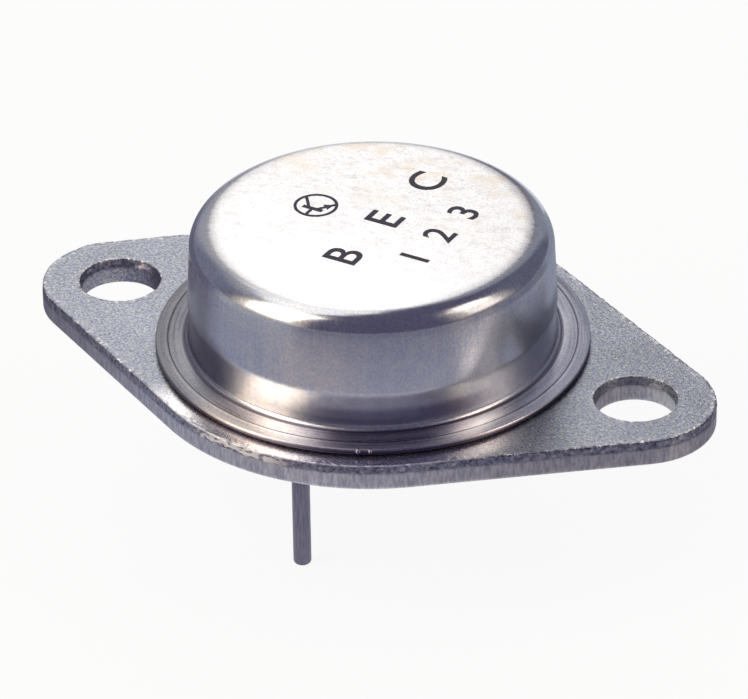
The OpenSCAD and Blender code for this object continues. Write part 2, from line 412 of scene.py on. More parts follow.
header_nickel, tree, shader = finish("header_nickel_matte", Metallic=1.0)
place = add(tree, "TexCoord").outputs["Object"]
axes = split(tree, place)
compass = compass_round(tree, axes)
torn_here, crest_here, sheared_here, bored_here = [
    add(tree, "Attribute", attribute_name=name + "_share").outputs["Fac"] for name in worn_places]
fine = grain(tree, place, 0.10, 2, 0.7)
tint = grain(tree, place, 0.16, 3, 0.7)
broad = grain(tree, place, 3.0, 3, 0.5)
base = shade(tree, tint, (0.37, (0.25, 0.28, 0.41)), (0.50, (0.40, 0.43, 0.51)), (0.61, (0.58, 0.575, 0.50)))
base = blend(tree, 1.0, base, shade(tree, broad, (0.3, 0.88), (0.7, 1.08)), "MULTIPLY")
base = blend(tree, 1.0, base, shade(tree, fine, (0.38, 0.66), (0.60, 1.18)), "MULTIPLY")
drags = grain(tree, place, 0.16, 3, 0.6, (1, 1, 4))
sheared_tone = shade(tree, drags, (0.36, (0.46, 0.47, 0.54)), (0.62, (0.74, 0.74, 0.78)))
base = blend(tree, sheared_here, base, sheared_tone)
chips = grain(tree, place, 0.22, 3, 0.7)
# The torn band is dark; its warm pale spots are painted glints
torn_tone = shade(tree, chips, (0.36, (0.13, 0.13, 0.19)), (0.50, (0.29, 0.31, 0.40)),
                  (0.62, (0.40, 0.41, 0.48)), (0.69, (0.70, 0.64, 0.56)))
rust = shade(tree, grain(tree, place, 0.30, 2, 0.6), (0.61, 0.0), (0.66, 0.4))
base = blend(tree, torn_here, base, blend(tree, rust, torn_tone, (0.36, 0.22, 0.13)))
lip_here = times(tree, torn_here, along(tree, axes["Z"], 1.37 * MM, 1.42 * MM))
# The lip at the top of the torn band: dark, with painted glints on its chips
lip_tone = shade(tree, chips, (0.50, (0.07, 0.06, 0.09)), (0.57, (0.22, 0.20, 0.24)),
                 (0.60, (1.0, 0.95, 0.90)))
base = blend(tree, times(tree, lip_here, 0.8), base, lip_tone)
# The burr's crest: its warm near-white chips are painted glints
crest_tone = shade(tree, chips, (0.34, (0.13, 0.11, 0.14)), (0.42, (0.38, 0.40, 0.47)),
                   (0.56, (0.44, 0.46, 0.52)), (0.61, (1.0, 0.94, 0.86)))
base = blend(tree, times(tree, crest_here, 0.6), base, crest_tone)
# Painted shade: the whole plate a tenth darker towards the right
base = blend(tree, 1.0, base, along(tree, axes["X"], -11 * MM, 12 * MM, 1.0, 0.90), "MULTIPLY")
# Painted light and shade: the sheared side is brightest just right of the middle and darker towards both ends
across = along(tree, axes["X"], -20 * MM, 20 * MM)
painted_side_shading = shade(tree, across, (0.225, 0.8), (0.47, 0.82), (0.56, 0.98), (0.80, 0.70))
base = blend(tree, sheared_here, base, painted_side_shading, "MULTIPLY")
base = blend(tree, bored_here, base, (0.74, 0.71, 0.76), "MULTIPLY")
# In front the burr has been folded over; its warm near-white tone is a painted highlight
burr_middle = (-2.0 * MM, -12.3 * MM, face_z)
from_burr = vector(tree, "DISTANCE", place, burr_middle)
burred = times(tree, along(tree, from_burr, 3.4 * MM, 1.8 * MM),
               figure(tree, "MAXIMUM", crest_here, torn_here))
folds = grain(tree, place, 0.14, 2, 0.5, (5, 1, 1), radians(8))
folded_burr_glint = times(tree, burred, shade(tree, folds, (0.44, 0.0), (0.51, 1.0)))
# Painted highlight on the folded burr
base = blend(tree, folded_burr_glint, base, (1.0, 0.95, 0.86))
# Beside the can, in front, a strip of the upper face is rubbed smoother; its bright warm tone is a painted
# highlight, with a painted bluish reflection over its middle
from_axis = vector(tree, "LENGTH", vector(tree, "MULTIPLY", place, (1, 1, 0)))
rubbed_with_sheen = times(tree, along(tree, from_axis, 13.2 * MM, 12.5 * MM), between(tree, compass, -40, 60, 8))
rubbed_with_sheen = times(tree, rubbed_with_sheen, along(tree, axes["Z"], face_z - 0.08 * MM, face_z - 0.03 * MM))
# Painted highlight: the strip's bright warm tone
painted_sheen_tone = shade(tree, tint, (0.36, (0.70, 0.67, 0.68)), (0.60, (1.0, 0.96, 0.93)))
base = blend(tree, times(tree, rubbed_with_sheen, 0.85), base, painted_sheen_tone)
# Painted reflection: a bluish tint over the middle of the strip
painted_blue_reflection = times(tree, rubbed_with_sheen, between(tree, compass, 4, 46, 8))
base = blend(tree, painted_blue_reflection, base, (0.90, 0.92, 1.10), "MULTIPLY")
rough = shade(tree, fine, (0.3, 0.32), (0.7, 0.47))
rough = blend(tree, rubbed_with_sheen, rough, shade(tree, fine, (0.3, 0.22), (0.7, 0.31)))
rough = blend(tree, torn_here, rough, (0.38, 0.38, 0.38))
paint(tree, shader, base, rough)
uneven = figure(tree, "MULTIPLY_ADD", rubbed_with_sheen, -0.6, 0.8)
bump(tree, shader, (fine, 0.02, uneven), (tint, 0.02, times(tree, uneven, 0.6)))
header.data.materials.append(header_nickel)
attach(header, "root")
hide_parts("header_plate")

# ---- Glass seals -----------------------------------------------------------------------------
# A bead of dark sealing glass melted between each lead and its hole. It crept up the metal at both
# edges as it set, and small bubbles stayed in it.


def lathe(name, outline, middle, sides):
    """Draws a circle on from point to point of an outline of (radius, height) in metres."""
    nothing()
    r, z = outline[0]
    bpy.ops.mesh.primitive_circle_add(vertices=sides, radius=r, location=(middle[0], middle[1], z))
    piece = bpy.context.object
    piece.name = piece.data.name = name
    bpy.ops.object.transform_apply(location=True, rotation=True, scale=True)
    bpy.ops.object.mode_set(mode="EDIT")
    bpy.ops.mesh.select_all(action="SELECT")
    for r_next, z_next in outline[1:]:
        bpy.ops.mesh.extrude_region_move(TRANSFORM_OT_translate={"value": (0, 0, z_next - z)})
        bpy.ops.transform.resize(value=(r_next / r, r_next / r, 1), center_override=(*middle, z_next))
        r, z = r_next, z_next
    weld()
    return piece


def cap(heights):
    """Closes the open end rings at those heights with one face each."""
    for height in heights:
        pick(lambda e: e.is_boundary and all(abs(v.co.z - height) < 1e-7 for v in e.verts), "EDGE")
        bpy.ops.mesh.edge_face_add()
    weld()


seal_glass, tree, shader = finish("seal_glass_dark", Roughness=0.06, IOR=1.52, Coat_Weight=0.6,
                                  Coat_Roughness=0.03)
place = add(tree, "TexCoord").outputs["Object"]
bubbles = add(tree, "TexVoronoi", {"Vector": place, "Scale": 1 / (0.22 * MM), "Randomness": 1.0},
              feature="F1").outputs["Distance"]
murk = grain(tree, place, 0.5, 3)
base = shade(tree, murk, (0.35, (0.020, 0.055, 0.055)), (0.65, (0.045, 0.095, 0.10)))
base = blend(tree, shade(tree, bubbles, (0.10, 0.8), (0.16, 0.0)), base, (0.20, 0.30, 0.30))
paint(tree, shader, base)
bump(tree, shader, (bubbles, 0.01, 0.4), (murk, 0.02, 0.3))
lead_r = mounts["emitter_pin"]["dims"]["r_mm"] * MM
# How far the glass reaches into the metal on both sides, and how deep its surface dips
sunk, meniscus = 0.01 * MM, 0.12 * MM
for name, spot in lead_spots.items():
    low, high, steps = seal_low.z, seal_high.z, 8
    outline = []
    for top in (False, True):
        for k in range(steps + 1):
            share = k / steps if not top else 1 - k / steps
            r = lead_r - sunk + share * (seal_r - lead_r + 2 * sunk)
            dip = meniscus * (1 - (2 * share - 1) ** 2)
            outline.append((r, high - dip if top else low + dip))
    outline.append(outline[0])
    glass = lathe(name + "_seal_bead", outline, spot, 72)
    settle(glass, 50)
    glass.data.materials.append(seal_glass)
    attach(glass, "root")
    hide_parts(name + "_seal")

# ---- Leads -----------------------------------------------------------------------------------
# Two straight pins of nickel-iron wire, drawn through a die that left fine marks along them, and
# cut and tumbled so that the tips are round. Inside the can each has a flat head for the wires.
lead_nickel, tree, shader = finish("lead_nickel_drawn", Metallic=1.0)
place = add(tree, "TexCoord").outputs["Object"]
marks = grain(tree, place, 0.09, 3, 0.6, (1, 1, 14))
spots = grain(tree, place, 0.6, 3, 0.6)
# The leads' dark tone stands partly for painted shade, from the shaded floor they mirror under the plate
base = shade(tree, marks, (0.3, (0.10, 0.10, 0.145)), (0.7, (0.19, 0.185, 0.25)))
spotted = shade(tree, spots, (0.3, (0.7, 0.7, 0.74)), (0.7, (1.15, 1.12, 1.12)))
base = blend(tree, 0.5, base, spotted, "MULTIPLY")
paint(tree, shader, base, shade(tree, spots, (0.3, 0.30), (0.7, 0.46)))
bump(tree, shader, (marks, 0.010, 0.6), (spots, 0.02, 0.3))
for name, spot in lead_spots.items():
    low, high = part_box(name + "_lead")
    head_r = (high.y - low.y) / 2
    tip, chamfer, steps = 0.22 * MM, 0.06 * MM, 10
    neck_r, neck_z = lead_r + 0.02 * MM, high.z - 0.35 * MM
    outline = [(lead_r - tip + tip * sin(a), low.z + tip - tip * cos(a))
               for a in [radians(x) for x in range(0, 91, 15)]]
    outline += [(lead_r, low.z + tip + (seal_low.z - low.z - tip) * k / steps) for k in range(1, steps + 1)]
    outline += [(neck_r, neck_z), (head_r - chamfer, neck_z), (head_r, neck_z + chamfer),
                (head_r, high.z - chamfer), (head_r - chamfer, high.z)]
    pin = lathe(name + "_lead_pin", outline, spot, 64)
    cap((low.z, high.z))
    settle(pin, 40)
    pin.data.materials.append(lead_nickel)
    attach(pin, "root")
    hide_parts(name + "_lead")

# ---- Braze -----------------------------------------------------------------------------------
# A thin cut sheet of gold-coloured braze, laid between the plate and the copper block. It melted in
# the furnace and set with a dull, flowed skin.
braze, tree, shader = finish("braze_gold", Metallic=1.0)
place = add(tree, "TexCoord").outputs["Object"]
flow = grain(tree, place, 0.5, 4)
paint(tree, shader, shade(tree, flow, (0.3, (0.62, 0.50, 0.30)), (0.7, (0.82, 0.70, 0.47))),
      shade(tree, flow, (0.3, 0.25), (0.7, 0.45)))
bump(tree, shader, (flow, 0.03, 0.6))


def repaint(node, material):
    """Gives a CAD node's own slots a finish."""
    piece = frame["nodes"][node]
    for spot in piece.material_slots:
        spot.material = material
    if not piece.material_slots:
        piece.data.materials.append(material)


repaint("braze_preform", braze)

# ---- Copper block ----------------------------------------------------------------------------
# A pad of bare copper, blanked and brazed to the plate, that spreads the chip's heat. It has a
# brown tarnish near its edges and fine marks from rolling.
copper, tree, shader = finish("copper_rolled", Metallic=1.0)
place = add(tree, "TexCoord").outputs["Object"]
rolled = grain(tree, place, 0.12, 3, 0.6, (12, 1, 1))
tarnish = grain(tree, place, 1.4, 4, 0.6)
base = shade(tree, tarnish, (0.35, (0.42, 0.22, 0.15)), (0.55, (0.70, 0.42, 0.30)),
             (0.75, (0.85, 0.56, 0.42)))
paint(tree, shader, base, shade(tree, rolled, (0.3, 0.24), (0.7, 0.42)))
bump(tree, shader, (rolled, 0.008, 0.6))
repaint("heat_spreader", copper)

# ---- Solder ----------------------------------------------------------------------------------
# A film of soft solder that holds the chip to the copper block. It was melted from a cut piece,
# and is dull and frosted where it froze.
solder, tree, shader = finish("solder_dull", Metallic=1.0)
place = add(tree, "TexCoord").outputs["Object"]
frost = grain(tree, place, 0.12, 4, 0.7)
paint(tree, shader, shade(tree, frost, (0.3, (0.44, 0.44, 0.46)), (0.7, (0.64, 0.64, 0.65))),
      shade(tree, frost, (0.3, 0.35), (0.7, 0.6)))
bump(tree, shader, (frost, 0.01, 0.7))
repaint("solder_preform", solder)

# ---- Chip ------------------------------------------------------------------------------------
# A square chip of silicon, polished and coated with a thin film that gives it a purple-blue cast,
# with its junction etched into a step round the edge.
silicon, tree, shader = finish("silicon_polished", Metallic=0.6, IOR=3.5, Coat_Weight=0.4)
place = add(tree, "TexCoord").outputs["Object"]
film = grain(tree, place, 1.2, 2)
fingers = add(tree, "TexWave", {"Vector": place, "Scale": 1 / (2.2 * MM), "Distortion": 0.0},
              bands_direction="X").outputs["Fac"]
base = shade(tree, film, (0.3, (0.16, 0.17, 0.26)), (0.7, (0.26, 0.25, 0.32)))
base = blend(tree, shade(tree, fingers, (0.62, 0.0), (0.70, 1.0)), base, (0.62, 0.63, 0.66))
paint(tree, shader, base, shade(tree, film, (0.3, 0.10), (0.7, 0.22)))
repaint("die", silicon)

# ---- Bond wires ------------------------------------------------------------------------------
# Soft aluminium wire, pressed flat at both ends and bent over in one arc: two from the emitter's
# pad to its lead, and a thinner one from the base's pad.
aluminium, tree, shader = finish("wire_aluminium_bright", Metallic=1.0)
place = add(tree, "TexCoord").outputs["Object"]
scuff = grain(tree, place, 0.15, 3, 0.6)
paint(tree, shader, shade(tree, scuff, (0.3, (0.72, 0.73, 0.75)), (0.7, (0.86, 0.86, 0.87))),
      shade(tree, scuff, (0.3, 0.22), (0.7, 0.38)))
bump(tree, shader, (scuff, 0.006, 0.5))
for node in ("emitter_wire_a", "emitter_wire_b", "base_wire"):
    repaint(node, aluminium)

# ---- Silicone --------------------------------------------------------------------------------
# A drop of clear soft silicone over the chip and the feet of its wires, put on as a liquid and
# cured. A few bubbles stayed in it.
silicone, tree, shader = finish("silicone_clear", Roughness=0.18, IOR=1.41, Transmission_Weight=0.85,
                                Base_Color=(0.90, 0.92, 0.90, 1))
place = add(tree, "TexCoord").outputs["Object"]
beads = add(tree, "TexVoronoi", {"Vector": place, "Scale": 1 / (0.5 * MM)}).outputs["Distance"]
waves = grain(tree, place, 1.5, 3)
paint(tree, shader, shade(tree, waves, (0.3, (0.84, 0.87, 0.86)), (0.7, (0.93, 0.94, 0.92))))
bump(tree, shader, (beads, 0.02, 0.2), (waves, 0.05, 0.4))
repaint("junction_coat", silicone)

# ---- Can -------------------------------------------------------------------------------------
# A cap drawn from thin steel sheet with a flat flange, plated with nickel and welded to the plate's
# ring. Drawing left upright marks on the wall and smooth bright bends, and the flat top keeps the
# sheet's rolled grain. The weld left two drops of spatter on the flange's edge.
can_low, can_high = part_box("can")
sheet, flange_wide = 0.42 * MM, 1.65 * MM
flange_r = can_high.y
foot_r = flange_r - flange_wide
flange_top = can_low.z + sheet
# The wall is this much nearer the axis at the top than at the flange
taper = 0.325 * MM
lean = atan(taper / (can_high.z - flange_top))


def wall_r(z, inset=0.0):
    """The wall's radius at a height, on its outer face or further in."""
    return foot_r - inset / cos(lean) - (z - flange_top + inset) * tan(lean)


inner_top = can_high.z - sheet
# A shallow waist above the foot: heights above the flange in mm, and the wall's lean there
waist_leans = [(0, 8), (0.30, 8), (0.65, 5), (0.85, 3.2), (1.05, 1.4), (1.25, -0.4), (1.45, -2.2),
               (1.65, -4), (1.80, -5.2), (1.95, -5.4), (2.05, -3.5), (2.15, -0.5), (2.25, 2)]
waist_top = flange_top + waist_leans[-1][0] * MM
waist = [(wall_r(waist_top), waist_top)]
for (low, low_lean), (high, high_lean) in reversed(list(zip(waist_leans, waist_leans[1:]))):
    r, z = waist[0]
    waist.insert(0, (r + (high - low) * MM * tan(radians((low_lean + high_lean) / 2)), flange_top + low * MM))
foot_corner = waist.pop(0)[0]
flange_fall = radians(4)
flange_edge = flange_top - (flange_r - foot_corner) * tan(flange_fall)
# The bend to the top: it starts softly on the flat, then turns on a radius down to the wall
bend_r, soft_turn, soft_start = 1.25 * MM, radians(6), 7.90 * MM
flat_r = wall_r(can_high.z) - bend_r * tan((pi / 2 - lean) / 2)
soft_end = flat_r + bend_r * sin(soft_turn)
soft_drop = (soft_end - soft_start) * tan(soft_turn) / 2
bend, bend_steps, soft_steps = [], 18, 6
for k in range(bend_steps + 1):
    turn = soft_turn + (pi / 2 - lean - soft_turn) * k / bend_steps
    bend.append((flat_r + bend_r * sin(turn), can_high.z - soft_drop - bend_r * (cos(soft_turn) - cos(turn))))
for k in range(soft_steps - 1, 0, -1):
    share = k / soft_steps
    bend.insert(0, (soft_start + (soft_end - soft_start) * share, can_high.z - soft_drop * share ** 2))
mouth_r, inner_r = wall_r(can_low.z, sheet), wall_r(inner_top, sheet)
cap_r, inside_ring_r, top_ring_r = 3 * MM, 7 * MM, 6 * MM
outline = [(cap_r, inner_top), (inside_ring_r, inner_top), (inner_r, inner_top), (mouth_r, can_low.z),
           (flange_r, can_low.z), (flange_r, flange_edge), (foot_corner, flange_top), *waist,
           *reversed(bend), (soft_start, can_high.z), (top_ring_r, can_high.z), (cap_r, can_high.z)]
cover = lathe("can_drawn", outline, (0, 0), 256)
cap((inner_top, can_high.z))


def round_corner(r, z, radius, turn, segments):
    """Rounds the ring of edges at that place to a radius, where the section turns by an angle."""
    reach = 0.002 * MM
    pick(lambda e: all(abs(v.co.to_2d().length - r) < reach and abs(v.co.z - z) < reach for v in e.verts),
         "EDGE")
    bpy.ops.mesh.bevel(offset=radius * tan(turn / 2), segments=segments, profile=0.5, offset_type="OFFSET",
                       clamp_overlap=False)


foot_lean = radians(waist_leans[0][1])
round_corner(foot_corner, flange_top, 0.28 * MM, pi / 2 - foot_lean - flange_fall, 10)
round_corner(flange_r, flange_edge, 0.07 * MM, pi / 2 - flange_fall, 3)
round_corner(flange_r, can_low.z, 0.05 * MM, pi / 2, 2)
round_corner(mouth_r, can_low.z, 0.77 * MM, pi / 2 - lean, 8)
round_corner(inner_r, inner_top, 0.83 * MM, pi / 2 - lean, 10)
weld()
bpy.ops.object.mode_set(mode="OBJECT")
spatter, spatter_z = [], flange_edge - 0.08 * MM
# Degrees round from the front, and the drop's radius
for degrees_round, drop_r in ((20.9, 0.15 * MM), (24.0, 0.12 * MM)):
    turn = radians(degrees_round)
    nothing()
    bpy.ops.mesh.primitive_uv_sphere_add(segments=24, ring_count=12, radius=drop_r,
                                         location=(flange_r * sin(turn), -flange_r * cos(turn), spatter_z))
    bpy.ops.object.transform_apply(location=True)
    bpy.ops.object.mode_set(mode="EDIT")
    weld()
    bpy.ops.object.mode_set(mode="OBJECT")
    spatter.append(bpy.context.object)
join(spatter, cover)
bpy.ops.object.shade_smooth_by_angle(angle=radians(30))

can_nickel, tree, shader = finish("can_nickel_satin", Metallic=1.0)
place = add(tree, "TexCoord").outputs["Object"]
axes = split(tree, place)
compass = compass_round(tree, axes)
# Patterns that run upright on the wall, and in rings round the flange
out = vector(tree, "MULTIPLY", place, (1, 1, 0))
away = vector(tree, "LENGTH", out)
around = vector(tree, "MULTIPLY", vector(tree, "NORMALIZE", out), (10 * MM, 10 * MM, 0))
upright = add(tree, "CombineXYZ", {"Z": times(tree, axes["Z"], 0.04)}).outputs[0]
wall_place = vector(tree, "ADD", around, upright)
draw_marks = grain(tree, wall_place, 0.12, 3, 0.65)
draw_bands = grain(tree, wall_place, 0.9, 2, 0.5)
outward = add(tree, "CombineXYZ", {"Z": away}).outputs[0]
ring_place = vector(tree, "ADD", outward, vector(tree, "MULTIPLY", around, (0.03, 0.03, 0)))
ring_marks = grain(tree, ring_place, 0.16, 3, 0.65)
rolling = radians(-23.5)
streaks = grain(tree, place, 0.16, 3, 0.65, (7, 1, 1), rolling)
blots = grain(tree, place, 0.42, 3, 0.65, (1.8, 1, 1), rolling)
mottle = grain(tree, place, 0.8, 4, 0.6)
specks = grain(tree, place, 0.13, 2, 0.6)
top_here = along(tree, axes["Z"], can_high.z - 0.12 * MM, can_high.z - 0.02 * MM)
bend_here = along(tree, axes["Z"], can_high.z - 1.6 * MM, can_high.z - 1.1 * MM)
flange_here = along(tree, axes["Z"], flange_top + 0.10 * MM, flange_top + 0.02 * MM)
# The wall, with painted shade on a stretch at the left and on a band low down in front
wall_tone = shade(tree, draw_bands, (0.3, (0.60, 0.645, 0.70)), (0.7, (0.66, 0.69, 0.725)))
wall_tone = blend(tree, 0.22, wall_tone, shade(tree, draw_marks, (0.3, 0.80), (0.7, 1.1)), "MULTIPLY")
speckled = shade(tree, specks, (0.36, (0.88, 0.89, 0.95)), (0.64, (1.08, 1.06, 1.02)))
wall_tone = blend(tree, 1.0, wall_tone, speckled, "MULTIPLY")
mottled = shade(tree, mottle, (0.35, (0.93, 0.95, 1.0)), (0.65, (1.05, 1.02, 1.0)))
wall_tone = blend(tree, 1.0, wall_tone, mottled, "MULTIPLY")
# Painted shade on a stretch of the wall at the left
painted_shade_left = times(tree, between(tree, compass, -78, -27, 6),
                between(tree, axes["Z"], 1.8 * MM, 4.4 * MM, 0.6 * MM))
wall_tone = blend(tree, painted_shade_left, wall_tone, (0.56, 0.53, 0.60), "MULTIPLY")
# Painted shade on a band low down in front
painted_shade_low = times(tree, between(tree, compass, 6, 60, 10),
               between(tree, axes["Z"], flange_top + 0.3 * MM, flange_top + 1.15 * MM, 0.25 * MM))
wall_tone = blend(tree, painted_shade_low, wall_tone, (0.46, 0.43, 0.54), "MULTIPLY")
# The top, plainer and lighter towards the front, where a painted sheen fades its pattern, and tanned in
# places at the back
top_tone = shade(tree, blots, (0.34, (0.55, 0.53, 0.52)), (0.47, (0.63, 0.62, 0.615)),
                 (0.60, (0.66, 0.65, 0.645)))
# Painted highlight: towards the front the pattern fades into a plain lighter tone
painted_sheen_fade = along(tree, axes["Y"], -8 * MM, 3 * MM, 0.3, 1.0)
top_tone = blend(tree, painted_sheen_fade, (0.72, 0.71, 0.71), top_tone)
streaked = shade(tree, streaks, (0.34, 0.88), (0.60, 1.04))
top_tone = blend(tree, times(tree, painted_sheen_fade, 0.8), top_tone, streaked, "MULTIPLY")
speckled = shade(tree, specks, (0.34, (0.78, 0.77, 0.82)), (0.48, (1.0, 1.0, 1.0)))
top_tone = blend(tree, painted_sheen_fade, top_tone, speckled, "MULTIPLY")
tan_here = times(tree, shade(tree, grain(tree, place, 1.6, 3, 0.6), (0.50, 0.0), (0.62, 0.6)),
                 along(tree, axes["Y"], -1 * MM, 7 * MM))
top_tone = blend(tree, tan_here, top_tone, (0.56, 0.48, 0.38))
# The flange, with a ring of painted shade and a ring of painted highlight, two stretches of painted warm
# highlight and a stretch of painted dark reflection between them
ring_tone = shade(tree, ring_marks, (0.34, (0.55, 0.57, 0.64)), (0.66, (0.75, 0.75, 0.79)))
# Painted shade and highlight in two thin rings, standing for a small step
painted_step_shade = between(tree, away, 10.86 * MM, 10.92 * MM, 0.02 * MM)
ring_tone = blend(tree, painted_step_shade, ring_tone, (0.13, 0.13, 0.17))
painted_step_highlight = between(tree, away, 10.98 * MM, 11.06 * MM, 0.02 * MM)
ring_tone = blend(tree, painted_step_highlight, ring_tone, (0.90, 0.89, 0.91))
# Painted light: the flange goes from half its tone at the left to a little over full at the right
painted_light_across = along(tree, axes["X"], -10 * MM, 10 * MM, 0.50, 1.10)
ring_tone = blend(tree, 1.0, ring_tone, painted_light_across, "MULTIPLY")
speckled = shade(tree, specks, (0.36, (0.84, 0.86, 0.92)), (0.64, (1.12, 1.08, 1.02)))
ring_tone = blend(tree, 1.0, ring_tone, speckled, "MULTIPLY")
# Painted warm highlights on two stretches; the roughness is unchanged there
painted_warm_highlights = figure(tree, "MAXIMUM", between(tree, compass, -26, -2, 7), between(tree, compass, 51, 66, 6))
ring_tone = blend(tree, painted_warm_highlights, ring_tone, (1.75, 1.55, 1.35), "MULTIPLY")
# Painted dark reflection between the two highlighted stretches
ring_tone = blend(tree, between(tree, compass, 8, 43, 8), ring_tone, (0.56, 0.52, 0.62), "MULTIPLY")
base = blend(tree, top_here, wall_tone, top_tone)
base = blend(tree, flange_here, base, ring_tone)
# Painted shade under the flange's edge, and in the crease where the wall rises
painted_shade_tone = (0.10, 0.09, 0.14)
side_here = times(tree, along(tree, away, flange_r - 0.06 * MM, flange_r - 0.02 * MM),
                  along(tree, axes["Z"], flange_edge - 0.05 * MM, flange_edge - 0.15 * MM))
base = blend(tree, side_here, base, painted_shade_tone)
creased = between(tree, away, foot_corner + 0.10 * MM, foot_corner + 0.30 * MM, 0.05 * MM)
base = blend(tree, times(tree, times(tree, flange_here, creased), 0.8), base, painted_shade_tone)
rough = blend(tree, bend_here, shade(tree, draw_marks, (0.3, 0.19), (0.7, 0.26)),
              shade(tree, draw_marks, (0.3, 0.13), (0.7, 0.18)))
rough = blend(tree, top_here, rough, shade(tree, streaks, (0.3, 0.24), (0.7, 0.32)))
rough = blend(tree, flange_here, rough, shade(tree, ring_marks, (0.3, 0.24), (0.7, 0.38)))
paint(tree, shader, base, rough)
relief = blend(tree, top_here, draw_marks, streaks)
relief = blend(tree, flange_here, relief, ring_marks)
bump(tree, shader, (relief, 0.0015, 0.3), (mottle, 0.015, 0.2))
cover.data.materials.append(can_nickel)
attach(cover, "root")
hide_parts("can")

# ---- Printed key -----------------------------------------------------------------------------
# A plain key to the terminals, stamped on the top in dark ink: the sign for a transistor, and the
# letters of its three terminals with their numbers. The ink stands up by less than a hair.
ink, tree, shader = finish("key_ink", Roughness=0.5, Specular_IOR_Level=0.25)
place = add(tree, "TexCoord").outputs["Object"]
patchy = grain(tree, place, 0.25, 3, 0.6)
base = shade(tree, patchy, (0.3, (0.022, 0.018, 0.036)), (0.62, (0.045, 0.040, 0.070)),
             (0.78, (0.14, 0.13, 0.19)))
paint(tree, shader, base, shade(tree, patchy, (0.3, 0.4), (0.7, 0.65)))
# The ink's thickness, and the gap that keeps it clear of the top's own face
ink_rise, ink_gap = 0.012 * MM, 0.001 * MM
# A capital's height in shares of the letters' size, and how far the ink spreads
capital_share, spread = 0.69, 0.014


def printed(name, text, start, slant, height, gap):
    """A row of letters cut as thin sheets: where it starts, its slant, its height and its spacing."""
    nothing()
    bpy.ops.object.text_add(location=(0, 0, 0))
    row = bpy.context.object
    row.data.body = text
    row.data.size = height / capital_share
    row.data.space_character = gap
    row.data.offset = spread * height
    row.data.extrude = ink_rise / 2
    row.data.resolution_u = 6
    bpy.ops.object.convert(target="MESH")
    row = bpy.context.object
    row.name = row.data.name = name
    row.location = (*start, can_high.z + ink_rise / 2 + ink_gap)
    row.rotation_euler = (0, 0, slant)
    bpy.ops.object.transform_apply(location=True, rotation=True, scale=True)
    bpy.ops.object.mode_set(mode="EDIT")
    weld(0.0001 * MM)
    bpy.ops.object.mode_set(mode="OBJECT")
    row.data.materials.clear()
    row.data.materials.append(ink)
    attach(row, "root")


slant = radians(85)
printed("key_letters", "B E C", (0.95 * MM, -4.5 * MM), slant, 1.9 * MM, 1.75)
printed("key_numbers", "1 2 3", (4.3 * MM, -3.0 * MM), slant, 1.65 * MM, 1.33)
sign_size, line_wide = 0.95 * MM, 0.17 * MM
sign_middle = Vector((-3.45 * MM, 0.5 * MM, can_high.z + ink_gap))
nothing()
bpy.ops.mesh.primitive_circle_add(vertices=96, radius=1.25 * sign_size, fill_type="NGON",
                                  location=sign_middle)
sign = bpy.context.object
sign.name = sign.data.name = "key_sign"
bpy.ops.object.transform_apply(location=True)
bpy.ops.object.mode_set(mode="EDIT")
bpy.ops.mesh.select_all(action="SELECT")
bpy.ops.mesh.inset(thickness=line_wide)
bpy.ops.mesh.delete(type="FACE")
bpy.ops.mesh.select_all(action="SELECT")
bpy.ops.mesh.extrude_region_move(TRANSFORM_OT_translate={"value": (0, 0, ink_rise)})
weld(0.0001 * MM)
bpy.ops.object.mode_set(mode="OBJECT")
turned = Matrix.Rotation(slant, 2)
# Where each line starts and ends, in shares of the sign's size, and how wide it is: the base's, the
# bar, the collector's and the emitter's. Each stands a little higher than the last.
sign_lines = (((-1.16, 0), (-0.38, 0), 1), ((-0.38, -0.62), (-0.38, 0.62), 1.5),
              ((-0.38, 0.22), (0.62, 0.98), 1), ((-0.38, -0.22), (0.62, -0.98), 1))
step_up, arrow_rise = 0.0008 * MM, 0.005 * MM
strokes = []
for k, (start, end, width) in enumerate(sign_lines):
    start, end = turned @ (Vector(start) * sign_size), turned @ (Vector(end) * sign_size)
    run, rise = end - start, ink_rise + (k + 1) * step_up
    nothing()
    bpy.ops.mesh.primitive_cube_add(size=1, location=sign_middle + Vector((*((start + end) / 2), rise / 2)),
                                    rotation=(0, 0, atan2(run.y, run.x)))
    bpy.context.object.scale = (run.length, line_wide * width, rise)
    bpy.ops.object.transform_apply(location=True, rotation=True, scale=True)
    strokes.append(bpy.context.object)
# The arrow lies on the emitter's line and points outwards
nothing()
arrow = turned @ (Vector((0.20, -0.66)) * sign_size)
rise = ink_rise + arrow_rise
bpy.ops.mesh.primitive_cylinder_add(vertices=3, radius=0.33 * sign_size, depth=rise,
                                    location=sign_middle + Vector((*arrow, rise / 2)),
                                    rotation=(0, 0, slant + atan2(-0.76, 1.0) - pi / 2))
bpy.ops.object.transform_apply(location=True, rotation=True)
strokes.append(bpy.context.object)
join(strokes, sign)
sign.data.materials.append(ink)
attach(sign, "root")

# ---- Studio ----------------------------------------------------------------------------------
# A white floor and surround, and three soft lamps. Round them hang a dark tent with lighter sheets
# and a grey apron, which glow with their own tones and only metal and glass mirror: painted reflections.
# The camera stands to the right of the front and looks down.
scene = bpy.context.scene
scene.view_settings.view_transform = "Standard"
object_low, object_high = cad_box
middle = (object_low + object_high) / 2


def towards(azimuth, elevation, distance):
    """A place seen from the object at those angles: 0 is the front, 90 the right."""
    a, e = radians(azimuth), radians(elevation)
    return middle + distance * Vector((sin(a) * cos(e), -cos(a) * cos(e), sin(e)))


def seen(tree):
    """1 for the camera's own view and for what is mirrored or seen through glass."""
    rays = add(tree, "LightPath").outputs
    straight = figure(tree, "MAXIMUM", rays["Is Camera Ray"], rays["Is Glossy Ray"])
    return figure(tree, "MAXIMUM", straight, rays["Is Transmission Ray"])


